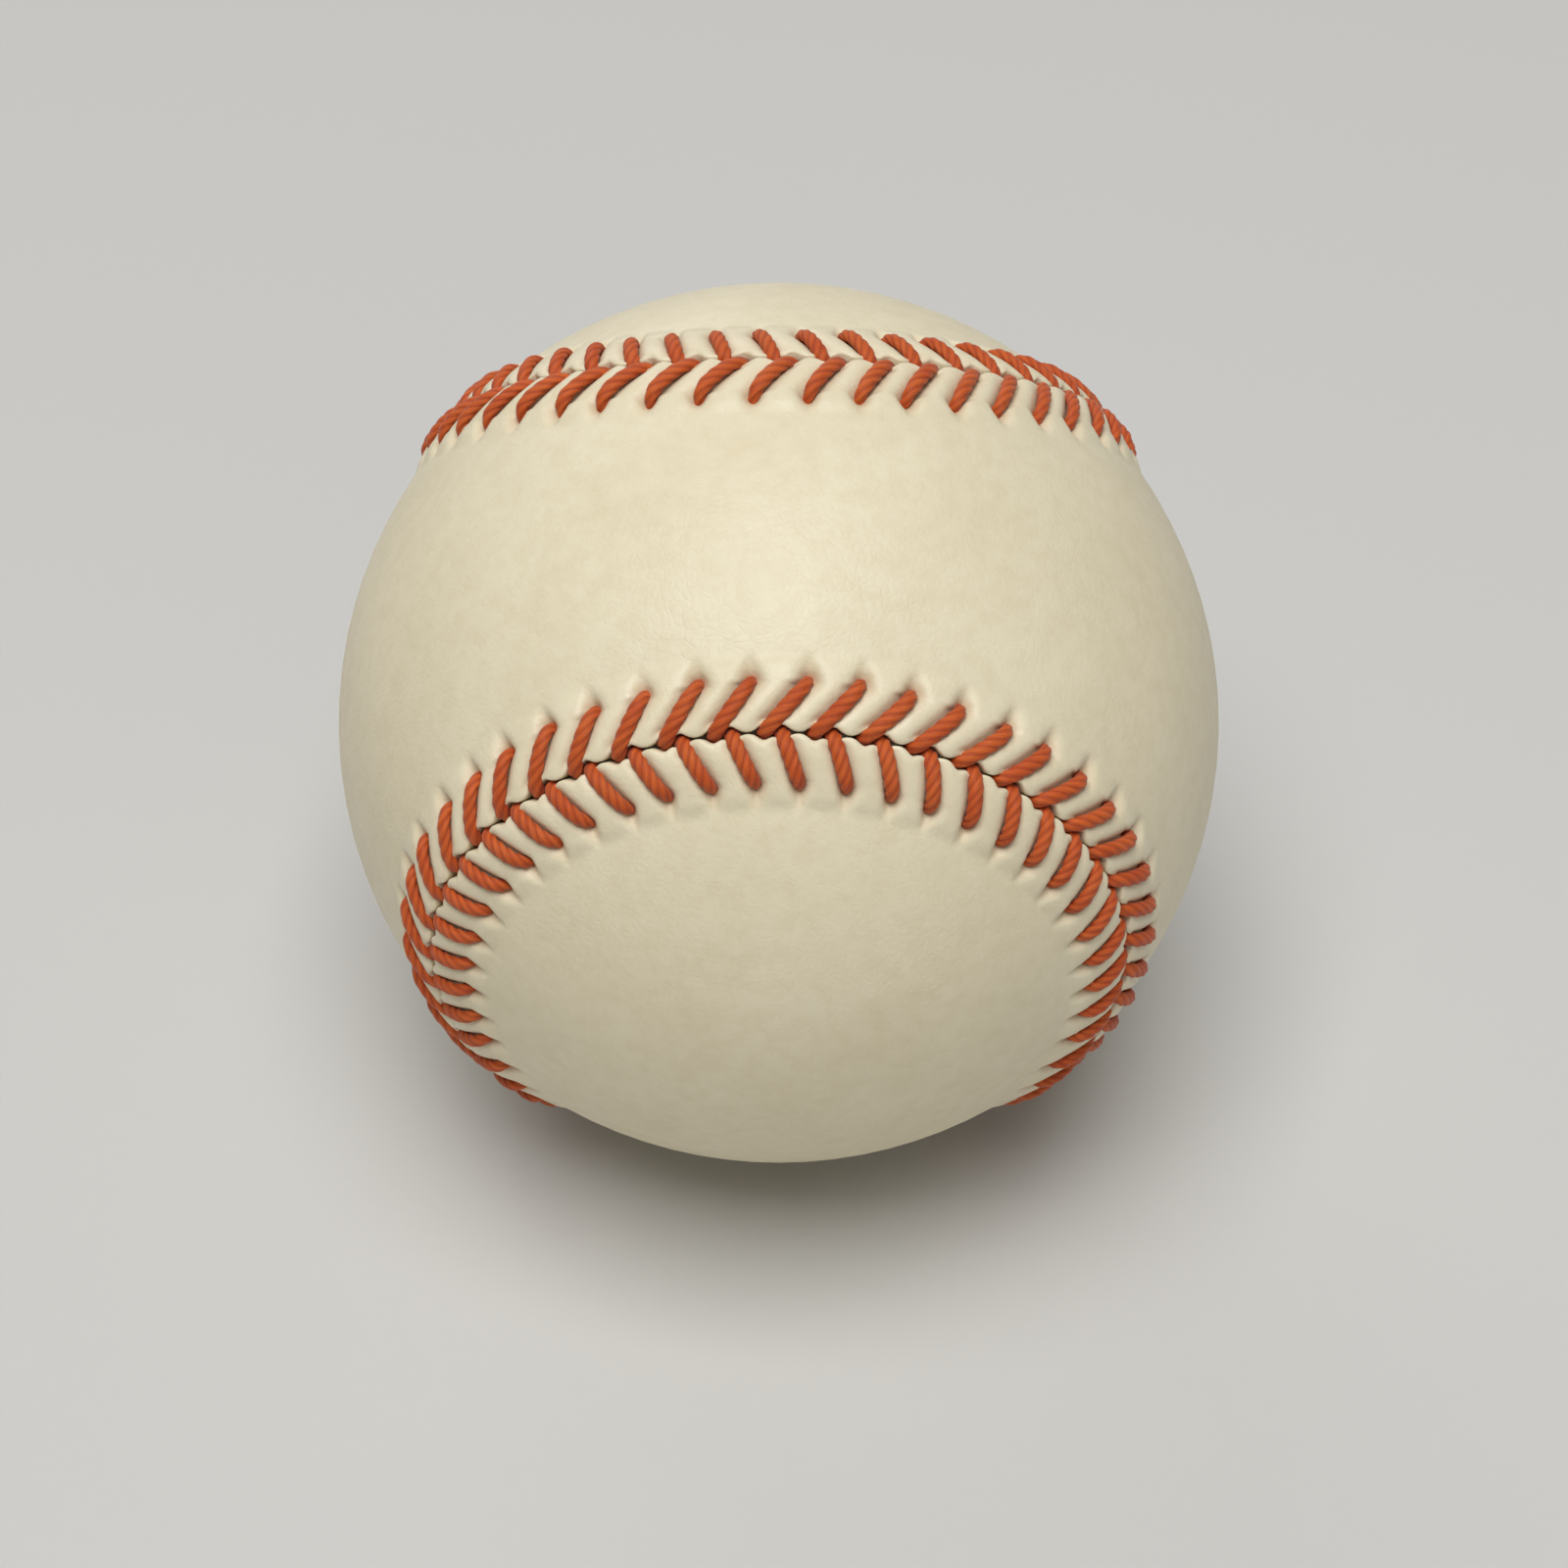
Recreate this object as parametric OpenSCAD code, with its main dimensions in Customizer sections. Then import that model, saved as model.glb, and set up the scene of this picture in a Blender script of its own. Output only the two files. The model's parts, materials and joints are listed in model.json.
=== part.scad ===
// A baseball, built outwards layer by layer: a cork core, moulded rubber, four windings, cement,
// two equal figure-of-eight leather covers and the two ends of thread that sew them together.
// Origin: the centre of the ball. The ball stands as it lies on a table, +Z up.

/* [Core] */
// Diameter of the cork ball at the centre
cork_d = 20.6; // [18:0.1:24]
// Thickness of the black rubber half shells
shell_wall = 3.6; // [2:0.1:5]
// Thickness of the washer between the half shells
gasket_thick = 1.4; // [0.8:0.1:3]
// Thickness of the red rubber layer
red_layer_wall = 3.5; // [2:0.1:5]

/* [Windings] */
// Thickness of the grey four-ply wool
grey_wool_wall = 13.5; // [12:0.1:15]
// Thickness of the white three-ply wool
white_wool_wall = 1.8; // [1:0.1:3]
// Thickness of the grey three-ply wool
overwinding_wall = 2.2; // [1:0.1:3]
// Thickness of the fine cotton yarn
cotton_wall = 0.45; // [0.2:0.05:1]
// Thickness of the cement under the leather
cement_wall = 0.1; // [0.05:0.05:0.3]

/* [Leather] */
// Thickness of the leather
leather_wall = 1.25; // [1:0.05:1.6]
// Width of a cover's waist, from seam to seam along the leather
waist_w = 32; // [26:0.5:38]
// Height of the sewn seam above the leather
seam_rise = 0.65; // [0.4:0.05:0.9]
// Distance from the slit to where the leather lies flat again
seam_reach = 5.6; // [4:0.1:7]
// Gap between the edges of the two covers
slit_gap = 0.3; // [0.1:0.05:0.6]

/* [Stitching] */
// Number of double stitches round the seam
stitch_count = 108; // [88:4:120]
// Diameter of the thread
thread_d = 1.05; // [0.9:0.05:1.2]
// Depth that the thread beds into the leather at the top of a stitch
thread_bed = 0.35; // [0.1:0.05:0.5]
// Distance from the slit to each row of holes
hole_aside = 3.7; // [3:0.1:4.5]
// How much wider than the thread each hole is
hole_ease = 0.1; // [0:0.05:0.3]
// Distance that each stitch leads forward, from its hole to the slit
stitch_lead = 2.3; // [1:0.1:2.8]
// Free space between the two threads where they pass through the slit
thread_space = 0.3; // [0.2:0.05:0.5]

/* [Resting pose] */
// Lean of the upper cover's waist towards the front, in degrees
lean = 24; // [0:1:45]

/* [Hidden] */
$fn = 96;

// Radius of each layer, from the inside out
cork_r = cork_d / 2;
shell_r = cork_r + shell_wall;
red_layer_r = shell_r + red_layer_wall;
grey_wool_r = red_layer_r + grey_wool_wall;
white_wool_r = grey_wool_r + white_wool_wall;
overwinding_r = white_wool_r + overwinding_wall;
cotton_r = overwinding_r + cotton_wall;
cement_r = cotton_r + cement_wall;
leather_r = cement_r + leather_wall;

// The seam is four equal round arcs, each about the middle of a lobe, and each meets the next on the
// equator. The waist's half width fixes the arc's radius (lobe_spread), the angle from the pole to the
// lobe's middle (lobe_tip) and half the arc's turn (lobe_turn), all in degrees.
waist_half = waist_w / 2 / leather_r * 180 / PI;
lobe_spread = atan((sqrt(2) - sin(waist_half)) / cos(waist_half));
lobe_tip = waist_half + lobe_spread;
lobe_turn = acos(-1 / (tan(lobe_tip) * tan(lobe_spread)));
seam_length = 8 * lobe_turn * PI / 180 * sin(lobe_spread) * leather_r;

// Section of the leather beside the slit: distances from it and heights, as shares of seam_reach and
// seam_rise. The outer face rolls down into the slit, and the inner face lifts to let the thread cross.
outer_aside_shares = [0, 0.12, 0.32, 0.6, 1];
outer_height_shares = [0.55, 1, 0.88, 0.34, 0];
inner_aside_shares = [0, 1];
inner_height_shares = [0.7, 0.35];
// Number of points across the middle of a cover, between the raised edges
outer_middle = 7;
inner_middle = 5;
// Points along the seam: two for each stitch
edge_count = 2 * stitch_count;
// The point along the seam at the tip of the upper cover's first lobe
tip_edge = edge_count * 3 / 8;

// Thread: height of its hidden runs, and of the top of each stitch's arch
thread_r = thread_d / 2;
run_r = cement_r + thread_r;
arch_top_r = leather_r + seam_rise + thread_r - thread_bed;
// A hidden run is a little thinner than the arches that it joins
run_d_share = 0.94;
// Diameter of the spheres and half spaces that cut the rubber shells
half_space = 2 * shell_r;

// A point on a unit sphere, turn degrees round the first lobe from its tip and spread degrees from
// the lobe's middle
function arc_point(turn, spread) = [
    sin(spread) * sin(turn),
    cos(spread) * sin(lobe_tip) - sin(spread) * cos(turn) * cos(lobe_tip),
    cos(spread) * cos(lobe_tip) + sin(spread) * cos(turn) * sin(lobe_tip)
];

// The same point on the seam's arc number k: each arc is the one before it, turned a quarter round
// the pole and mirrored top to bottom
function on_arc(p, k) = k == 0 ? p : on_arc([p.y, -p.x, -p.z], k - 1);

// Direction of the point at a share of the way round the seam, moved aside by a distance: above zero
// onto the upper cover, below zero onto the lower one
function seam_point(share, aside) =
    let (
        way = 4 * (share - floor(share)),
        arc = floor(way),
        turn = lobe_turn * (2 * (way - arc) - 1),
        shift = aside / leather_r * 180 / PI
    )
    on_arc(arc_point(turn, lobe_spread + (arc % 2 == 0 ? shift : -shift)), arc);

function last(list) = len(list) - 1;

// A ring of points that follows the seam, moved aside
function ring(aside, r) = [for (i = [0:edge_count - 1]) r * seam_point(i / edge_count, aside)];

// Rings for one face of the leather, from the slit to where it lies flat
function face_rings(asides, heights, base_r) = [
    for (k = [0:last(asides)])
        each ring(slit_gap / 2 + asides[k] * seam_reach, base_r + heights[k] * seam_rise)
];

// Points across the cover between the innermost ring's two sides, which mirror each other in Y. Each
// line across is an arc, shared out evenly. Where clear is true the points stand a little off, so that
// the flat patches between them clear the sphere of radius r instead of cutting into it.
function middle_points(count, r, clear) = [
    for (m = [1:edge_count / 2 - 1])
        let (
            p = seam_point((tip_edge - m) / edge_count, slit_gap / 2 + seam_reach),
            rise = asin(p.y),
            flat = [p.x, p.z] / norm([p.x, p.z]),
            point_r = clear ? r / cos(rise / (count + 1)) : r
        )
        for (j = [1:count])
            let (a = rise * (1 - 2 * j / (count + 1)))
            point_r * [flat.x * cos(a), sin(a), flat.y * cos(a)]
];

// Number of a point: in a ring, and in line m across the middle, whose ends lie on the last ring
function ring_index(start, k, i) = start + k * edge_count + (i + edge_count) % edge_count;
function line_index(start, rings, count, m, j) =
    j == 0 || m == 0 || m == edge_count / 2 ? ring_index(start, rings, tip_edge - m)
    : j == count + 1 ? ring_index(start, rings, tip_edge + m)
    : start + (rings + 1) * edge_count + (m - 1) * count + j - 1;

// Triangles of a four-cornered patch, of a whole face of the leather, and of the wall in the slit
function patch(a, b, c, d) = [[a, b, c], [a, c, d]];
function face_triangles(start, rings, count) = concat(
    [
        for (k = [0:rings - 1], i = [0:edge_count - 1])
            each patch(
                ring_index(start, k, i), ring_index(start, k, i + 1),
                ring_index(start, k + 1, i + 1), ring_index(start, k + 1, i)
            )
    ],
    [
        for (m = [1:edge_count / 2 - 2], j = [0:count])
            each patch(
                line_index(start, rings, count, m, j), line_index(start, rings, count, m, j + 1),
                line_index(start, rings, count, m + 1, j + 1), line_index(start, rings, count, m + 1, j)
            )
    ],
    [
        for (j = [0:count])
            [
                line_index(start, rings, count, 0, 0),
                line_index(start, rings, count, 1, j + 1), line_index(start, rings, count, 1, j)
            ]
    ],
    [
        for (j = [0:count])
            let (m = edge_count / 2 - 1)
            [
                line_index(start, rings, count, m, j), line_index(start, rings, count, m, j + 1),
                line_index(start, rings, count, m + 1, 0)
            ]
    ]
);
function turned_over(triangles) = [for (t = triangles) [t[0], t[2], t[1]]];

// One cover before it is punched, lying as the upper one does: its waist crosses +Z and its lobes
// reach round +X and -X
module cover_blank() {
    outer_rings = last(outer_aside_shares);
    inner_rings = last(inner_aside_shares);
    inner_start = edge_count * (outer_rings + 1) + outer_middle * (edge_count / 2 - 1);
    points = concat(
        face_rings(outer_aside_shares, outer_height_shares, leather_r),
        middle_points(outer_middle, leather_r, false),
        face_rings(inner_aside_shares, inner_height_shares, cement_r),
        middle_points(inner_middle, cement_r, true)
    );
    slit_wall = [
        for (i = [0:edge_count - 1])
            each patch(
                ring_index(0, 0, i + 1), ring_index(0, 0, i),
                ring_index(inner_start, 0, i), ring_index(inner_start, 0, i + 1)
            )
    ];
    polyhedron(points, concat(
        face_triangles(0, outer_rings, outer_middle),
        turned_over(face_triangles(inner_start, inner_rings, inner_middle)),
        slit_wall
    ));
}

// Turns a solid on +Z so that it points along a direction
module pointing(way) {
    rotate([0, acos(way.z), atan2(way.y, way.x)])
        children();
}

// One cover, with a hole for each of its stitches
module cover() {
    difference() {
        cover_blank();
        for (i = [0:stitch_count - 1])
            pointing(seam_point(i / stitch_count, hole_aside))
                translate([0, 0, cotton_r])
                    cylinder(h = 2 * leather_wall, r = thread_r + hole_ease / 2);
    }
}

// Where thread comes up through stitch i's hole on one side, and where it goes down into the slit.
// The two threads of a stitch pass through the slit side by side.
function hole(i, side) = run_r * seam_point(i / stitch_count, side * hole_aside);
function slit(i, side) =
    let (along = stitch_lead + side * (thread_d + thread_space) / 2)
    run_r * seam_point(i / stitch_count + along / seam_length, 0);

// A round arch of thread from a to b that stands away from the centre of the ball
module arch(a, b, top_r) {
    half_chord = norm(b - a) / 2;
    middle = (a + b) / 2;
    rise = top_r - norm(middle);
    bend_r = (half_chord * half_chord + rise * rise) / (2 * rise);
    half_bend = 2 * atan(rise / half_chord);
    along = (b - a) / norm(b - a);
    across = cross(along, middle) / norm(cross(along, middle));
    up = cross(across, along);
    centre = middle + (rise - bend_r) * up;
    multmatrix([
        [along.x, up.x, -across.x, centre.x],
        [along.y, up.y, -across.y, centre.y],
        [along.z, up.z, -across.z, centre.z],
        [0, 0, 0, 1]
    ])
        rotate([0, 0, 90 - half_bend])
            rotate_extrude(angle = 2 * half_bend)
                translate([bend_r, 0])
                    circle(r = thread_r);
}

// A straight hidden run of thread from a to b, long enough to pass through both arches' ends
module run(a, b) {
    way = (b - a) / norm(b - a);
    translate(a - thread_r * way)
        pointing(way)
            cylinder(h = norm(b - a) + thread_d, r = thread_r * run_d_share);
}

// One working end of the thread. Stitch by stitch it comes up on alternate sides, arches over the
// leather into the slit and runs under the other cover to the next hole.
module thread(first_side) {
    for (i = [0:stitch_count - 1]) {
        side = i % 2 == 0 ? first_side : -first_side;
        arch(hole(i, side), slit(i, side), arch_top_r);
        run(slit(i, side), hole(i + 1, -side));
    }
}

// A hollow ball
module layer(outer_r, inner_r) {
    difference() {
        sphere(r = outer_r);
        sphere(r = inner_r);
    }
}

// One rubber half shell: side is 1 on the right and -1 on the left
module rubber_shell(side) {
    difference() {
        layer(shell_r, cork_r);
        translate([side * (gasket_thick / 2 - half_space / 2), 0, 0])
            cube(half_space, center = true);
    }
}

// Puts the ball in its resting pose
module at_rest() {
    rotate([lean, 0, 0])
        children();
}

module cork_core() {
    color("peru") at_rest() sphere(r = cork_r);
}

module rubber_shell_left() {
    color("dimgray") at_rest() rubber_shell(-1);
}

module rubber_shell_right() {
    color("dimgray") at_rest() rubber_shell(1);
}

module shell_gasket() {
    color("firebrick") at_rest()
        intersection() {
            layer(shell_r, cork_r);
            cube([gasket_thick, half_space, half_space], center = true);
        }
}

module red_rubber_layer() {
    color("indianred") at_rest() layer(red_layer_r, shell_r);
}

module grey_wool_winding() {
    color("gray") at_rest() layer(grey_wool_r, red_layer_r);
}

module white_wool_winding() {
    color("ivory") at_rest() layer(white_wool_r, grey_wool_r);
}

module grey_wool_overwinding() {
    color("darkgray") at_rest() layer(overwinding_r, white_wool_r);
}

module cotton_finish_winding() {
    color("floralwhite") at_rest() layer(cotton_r, overwinding_r);
}

module cement_film() {
    color("khaki") at_rest() layer(cement_r, cotton_r);
}

module upper_cover() {
    color([0.86, 0.82, 0.71]) at_rest() cover();
}

// The lower cover is the upper one turned half round, so that its lobes close on the other's waist
module lower_cover() {
    color([0.84, 0.79, 0.68]) at_rest() rotate(a = 180, v = [1, 1, 0]) cover();
}

module red_thread_first() {
    color([0.78, 0.24, 0.14]) at_rest() thread(1);
}

module red_thread_second() {
    color([0.72, 0.2, 0.12]) at_rest() thread(-1);
}

cork_core();
rubber_shell_left();
rubber_shell_right();
shell_gasket();
red_rubber_layer();
grey_wool_winding();
white_wool_winding();
grey_wool_overwinding();
cotton_finish_winding();
cement_film();
upper_cover();
lower_cover();
red_thread_first();
red_thread_second();
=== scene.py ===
# %% [markdown]
# # A baseball, from its cork to its stitches
#
# The ball's solids are already made at their real size, and they load as a frame that never moves.
# This lesson gives each of them its finish. What shows, the leather and the thread, is modelled
# afresh as surfaces worked out with numpy, and so are the wound layers under the leather. The
# moulded pieces at the centre keep their solids and only need good materials.

import json
import math

import bpy
import numpy as np
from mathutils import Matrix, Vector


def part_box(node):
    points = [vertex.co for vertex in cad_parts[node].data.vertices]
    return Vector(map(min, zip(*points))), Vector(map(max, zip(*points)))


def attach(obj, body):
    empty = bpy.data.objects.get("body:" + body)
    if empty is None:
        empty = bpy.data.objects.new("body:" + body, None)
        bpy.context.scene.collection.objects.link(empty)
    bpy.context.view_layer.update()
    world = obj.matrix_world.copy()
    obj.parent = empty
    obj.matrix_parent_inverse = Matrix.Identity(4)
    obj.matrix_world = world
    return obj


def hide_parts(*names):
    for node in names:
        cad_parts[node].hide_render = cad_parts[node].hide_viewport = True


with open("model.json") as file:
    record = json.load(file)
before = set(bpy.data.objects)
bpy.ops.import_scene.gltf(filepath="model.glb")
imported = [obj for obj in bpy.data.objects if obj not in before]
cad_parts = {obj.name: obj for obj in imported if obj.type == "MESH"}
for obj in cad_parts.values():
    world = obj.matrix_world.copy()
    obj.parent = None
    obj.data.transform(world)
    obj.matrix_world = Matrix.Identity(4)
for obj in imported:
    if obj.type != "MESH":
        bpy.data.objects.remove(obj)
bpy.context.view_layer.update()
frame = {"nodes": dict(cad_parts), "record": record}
print("solids loaded:", len(frame["nodes"]))

# %% [markdown]
# ## Sizes of the layers
#
# Blender works in metres, and a ball is easier to think about in millimetres, so MM turns one into
# the other. The radii could be written here again, but read from the solids' own boxes they can
# never disagree with the solids.

# %% Sizes of the layers
MM = 0.001


def solid_radius(node):
    """Half the width of a round solid, from its box."""
    low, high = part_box(node)
    return (high.x - low.x) / 2


leather_r = -frame["record"]["mounts"][0]["pos_m"][2]
cement_r = solid_radius("cement_film")
leather_wall = leather_r - cement_r
print(f"leather radius {leather_r / MM:.2f} mm, leather {leather_wall / MM:.2f} mm thick")

# %% [markdown]
# ## Camera
#
# The camera stands where the photograph's camera stood: 42 degrees above the table and about eight
# ball radii away. How large the ball is in the picture then fixes the focal length, and the place
# of its centre fixes the aim.

# %% Camera
picture_px = 1600  # width and height of the photograph
ball_centre_px = (794.7, 738.3)
ball_limb_px = 449.0  # radius of the ball's outline in the photograph
view_elevation = math.radians(42)
view_radii = 8.0  # distance from the camera to the ball's centre, in ball radii
sensor_w = 36.0  # in millimetres, as the lens is


def add_object(name, data):
    """An object in the scene that holds that data, at the origin."""
    thing = bpy.data.objects.new(name, data)
    bpy.context.scene.collection.objects.link(thing)
    return thing


focal_px = ball_limb_px * math.sqrt(view_radii**2 - 1)
right_px = ball_centre_px[0] - picture_px / 2
up_px = picture_px / 2 - ball_centre_px[1]
reach = view_radii * leather_r

camera_data = bpy.data.cameras.new("camera")
camera_data.sensor_width = sensor_w
camera_data.lens = focal_px / picture_px * sensor_w
camera_data.clip_start = leather_r / 4
camera = add_object("camera", camera_data)
camera.location = (0, -reach * math.cos(view_elevation), reach * math.sin(view_elevation))
tilt = math.pi / 2 - view_elevation - math.atan(up_px / focal_px)
pan = math.atan(right_px / focal_px) / math.cos(view_elevation)
camera.rotation_euler = (tilt, 0, pan)
bpy.context.scene.camera = camera
bpy.context.scene.view_settings.view_transform = "Standard"
print(f"camera {reach / MM:.0f} mm away with a {camera_data.lens:.0f} mm lens")

# %% [markdown]
# ## Floor and backdrop
#
# The floor is plain and pale, and further off it turns into a backdrop of the same tone, so no
# horizon shows. A sheet that curves up behind the ball does this for one view, and a flat floor
# whose material fades with distance does it for every view. Only the eye sees the fade: the Light
# Path node keeps it out of the light that falls on the ball.
#
# Every material in this lesson is a Principled shader. A value that is the same all over is set on
# the shader, and one that varies is fed to it by nodes. The nodes read Object coordinates, which
# are metres on the ball itself, so one texture scale means the same grain on every piece.

# %% Colours as a screen writes them


def linear(red, green, blue):
    """A colour written as on a screen, from 0 to 255, as the linear values that Blender works with:
    a straight line near black, and a power of 2.4 above it."""
    share = np.array([red, green, blue]) / 255
    value = np.where(share <= 0.04045, share / 12.92, ((share + 0.055) / 1.055) ** 2.4)
    return (*value.tolist(), 1.0)


floor_colour = linear(208, 207, 204)
backdrop_colour = linear(204, 203, 199)
room_colour = linear(236, 235, 232)
print(f"the floor throws back {floor_colour[0]:.0%} of the light")

# %% A material and its nodes


def new_material(name, **constants):
    """A material, its node tree and its Principled shader, with constants set on the shader."""
    material = bpy.data.materials.new(name)
    material.use_nodes = True
    tree = material.node_tree
    shader = tree.nodes["Principled BSDF"]
    for socket, value in constants.items():
        shader.inputs[socket.replace("_", " ")].default_value = value
    return material, tree, shader


def add_node(tree, kind, inputs, **settings):
    """A node of that kind with its settings, each input joined to an output or set to a value."""
    node = tree.nodes.new("ShaderNode" + kind)
    for key, value in settings.items():
        setattr(node, key, value)
    for key, value in inputs.items():
        if isinstance(value, bpy.types.NodeSocket):
            tree.links.new(value, node.inputs[key])
        else:
            node.inputs[key].default_value = value
    return node


def add_math(tree, kind, first, second=0.0):
    """One sum on numbers."""
    return add_node(tree, "Math", {0: first, 1: second}, operation=kind).outputs["Value"]


def object_place(tree):
    """The place on the ball, in metres."""
    return add_node(tree, "TexCoord", {}).outputs["Object"]


floor_material, floor_tree, floor_shader = new_material(
    "pale_floor", Base_Color=floor_colour, Roughness=0.85, Specular_IOR_Level=0.2
)
print("made", floor_material.name)

# %% The floor fades into the backdrop
fade_start, fade_end = 0.32, 1.1  # distances from the ball, in metres


def seen_by_eye(tree):
    """1 where a ray comes from the camera, straight or by way of a shine or through glass."""
    ray = add_node(tree, "LightPath", {}).outputs
    straight_or_shine = add_math(tree, "MAXIMUM", ray["Is Camera Ray"], ray["Is Glossy Ray"])
    return add_math(tree, "MAXIMUM", straight_or_shine, ray["Is Transmission Ray"])


def mix_shaders(tree, factor, first, second, output):
    """The two shaders mixed by factor, as what that tree puts out."""
    mixed = add_node(tree, "MixShader", {0: factor, 1: first, 2: second})
    tree.links.new(mixed.outputs["Shader"], tree.nodes[output].inputs["Surface"])


away = add_node(floor_tree, "VectorMath", {0: object_place(floor_tree)}, operation="LENGTH")
fade = add_node(
    floor_tree, "MapRange",
    {"Value": away.outputs["Value"], "From Min": fade_start, "From Max": fade_end},
    interpolation_type="SMOOTHSTEP",
)
fade_seen = add_math(floor_tree, "MULTIPLY", fade.outputs["Result"], seen_by_eye(floor_tree))
far_floor = add_node(floor_tree, "Emission", {"Color": backdrop_colour}).outputs["Emission"]
mix_shaders(floor_tree, fade_seen, floor_shader.outputs["BSDF"], far_floor, "Material Output")
print(f"the floor turns into backdrop from {fade_start} to {fade_end} m away")

# %% Floor
floor_half = 3.0
floor_corners = [(-1, -1), (1, -1), (1, 1), (-1, 1)]
floor_points = [(x * floor_half, y * floor_half, -leather_r) for x, y in floor_corners]
floor_mesh = bpy.data.meshes.new("floor")
floor_mesh.from_pydata(floor_points, [], [(0, 1, 2, 3)])
floor_mesh.materials.append(floor_material)
floor = add_object("floor", floor_mesh)
print(f"floor {2 * floor_half:.0f} m wide, {leather_r / MM:.1f} mm below the ball's centre")

# %% Room
room_strength = 0.16

world = bpy.data.worlds.new("soft_room")
bpy.context.scene.world = world
world.use_nodes = True
world_tree = world.node_tree
room = world_tree.nodes["Background"]
room.inputs["Color"].default_value = room_colour
room.inputs["Strength"].default_value = room_strength
backdrop = add_node(world_tree, "Background", {"Color": backdrop_colour}).outputs["Background"]
room_seen = seen_by_eye(world_tree)
mix_shaders(world_tree, room_seen, room.outputs["Background"], backdrop, "World Output")
print("the room lights the ball at strength", room_strength)

# %% [markdown]
# ## Light
#
# One large soft lamp hangs over the ball, as it does in the photograph, so that the stitches model
# clearly and the ball gets a soft shadow. A weak wide one fills in from the front, and another from
# low behind keeps the far side from going dark.

# %% Lamps


def add_lamp(name, azimuth, elevation, distance, size, power):
    """A square lamp that faces the ball and doesn't show itself. Azimuth 0 is the camera's side,
    and grows to its right."""
    lamp_data = bpy.data.lights.new(name, "AREA")
    lamp_data.size = size
    lamp_data.energy = power
    lamp = add_object(name, lamp_data)
    around, above = math.radians(azimuth), math.radians(elevation)
    flat = distance * math.cos(above)
    height = distance * math.sin(above)
    lamp.location = (flat * math.sin(around), -flat * math.cos(around), height)
    lamp.rotation_euler = (math.pi / 2 - above, 0, around)
    lamp.visible_camera = False
    print(f"{name}: {power} W, {size} m wide, {distance} m away")


add_lamp("overhead_softbox", azimuth=-12, elevation=74, distance=1.6, size=1.07, power=23.0)
add_lamp("front_fill", azimuth=20, elevation=38, distance=2.4, size=1.6, power=2.8)
add_lamp("back_fill", azimuth=200, elevation=22, distance=2.4, size=1.4, power=8.0)

# %% [markdown]
# ## The moulded core
#
# The core is what a mould leaves: a ball of cork and rubber granules in two black rubber half
# shells with a red washer between them, and one more layer of red rubber. Their solids already have
# the right shape, so only their materials change. The film of cement under the leather is the same
# case. Each finish mixes a few procedural textures, so it needs no picture.

# %% Textures


def add_noise(tree, place, size, detail=2.0, roughness=0.5):
    """Noise whose lumps are about size across, as a number from 0 to 1."""
    inputs = {"Vector": place, "Scale": 1 / size, "Detail": detail, "Roughness": roughness}
    return add_node(tree, "TexNoise", inputs).outputs["Fac"]


def add_ramp(tree, factor, stops):
    """A colour or grey that follows factor through stops, each a place from 0 to 1 and a colour."""
    node = add_node(tree, "ValToRGB", {"Fac": factor})
    elements = node.color_ramp.elements
    while len(elements) < len(stops):
        elements.new(1.0)
    for element, (place, colour) in zip(elements, stops):
        element.position = place
        element.color = colour if hasattr(colour, "__len__") else (colour, colour, colour, 1)
    return node.outputs["Color"]


def add_mix(tree, factor, first, second, blend="MIX"):
    """first and second mixed, or blended another way, by factor."""
    inputs = {"Fac": factor, "Color1": first, "Color2": second}
    return add_node(tree, "MixRGB", inputs, blend_type=blend).outputs["Color"]


# %% A finish and the solids that take it


def feed(tree, shader, bumps, **outputs):
    """Joins each output to the shader's socket of that name, and the bumps to its normal, one on
    the other: each is a height from 0 to 1 and how deep it is."""
    for height, depth in bumps:
        under = {"Normal": outputs["Normal"]} if "Normal" in outputs else {}
        bump = add_node(tree, "Bump", {"Height": height, "Distance": depth, **under})
        outputs["Normal"] = bump.outputs["Normal"]
    for socket, output in outputs.items():
        tree.links.new(output, shader.inputs[socket.replace("_", " ")])


def refinish(material, *nodes):
    """Those solids keep their shape and take that material."""
    for node in nodes:
        for place in frame["nodes"][node].material_slots:
            place.material = material
    print(f"{material.name} on {', '.join(nodes)}")


# %% Cork
granule_w, granule_gap_deep = 1.1 * MM, 0.12 * MM
gap_strength = 0.85


def cork_finish():
    """Cork and rubber granules pressed together: each cell has its own brown, with dark gaps."""
    material, tree, shader = new_material(
        "cork_and_rubber", Roughness=0.85, Specular_IOR_Level=0.2
    )
    grain = {"Vector": object_place(tree), "Scale": 1 / granule_w, "Randomness": 1.0}
    cell = add_node(tree, "TexVoronoi", grain).outputs["Color"]
    gap = add_node(tree, "TexVoronoi", grain, feature="DISTANCE_TO_EDGE").outputs["Distance"]
    browns = add_ramp(tree, cell, [
        (0.15, linear(96, 64, 38)),
        (0.40, linear(158, 114, 72)),
        (0.70, linear(196, 152, 102)),
        (0.90, linear(60, 50, 44)),
    ])
    gaps = add_ramp(tree, gap, [(0.0, linear(70, 48, 32)), (0.10, 1.0)])
    colour = add_mix(tree, gap_strength, browns, gaps, "MULTIPLY")
    granules = add_ramp(tree, gap, [(0.0, 0.0), (0.15, 1.0)])
    feed(tree, shader, [(granules, granule_gap_deep)], Base_Color=colour)
    return material


refinish(cork_finish(), "cork_core")

# %% Rubber
bloom_w = 4 * MM  # the patches where the rubber has dulled
mould_grain_w, mould_grain_deep = 0.35 * MM, 0.03 * MM


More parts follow.
